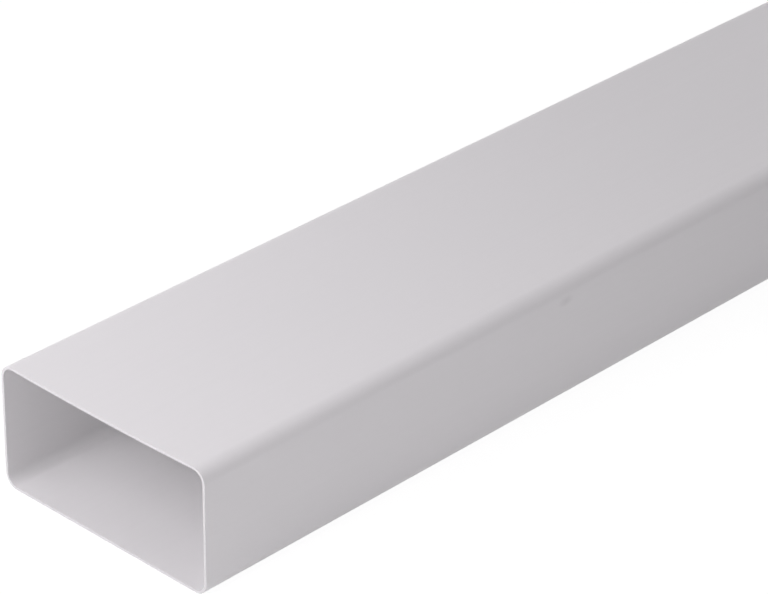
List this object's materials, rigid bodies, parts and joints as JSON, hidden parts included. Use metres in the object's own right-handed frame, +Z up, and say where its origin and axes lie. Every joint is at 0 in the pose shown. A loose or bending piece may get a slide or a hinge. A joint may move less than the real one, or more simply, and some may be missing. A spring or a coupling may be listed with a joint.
{
  "type": "flat channel duct",
  "caption": "Straight length of flat oblong PVC ventilation duct, a thin-walled hollow section with rounded long corners and square-cut open ends, for carrying air between fittings.",
  "frame": {"origin": "middle of the flat underside that the duct rests on", "axes": "+X along the duct, +Y across its width, +Z up through its height; the dished wall is the top one"},
  "size_m": [1, 0.11, 0.054],
  "materials": {
    "white_pvc": "satin extruded rigid PVC, off-white, with faint draw lines along the length and sawn ends"
  },
  "bodies": {
    "root": {"flat_channel_duct": "white_pvc"}
  },
  "joints": []
}
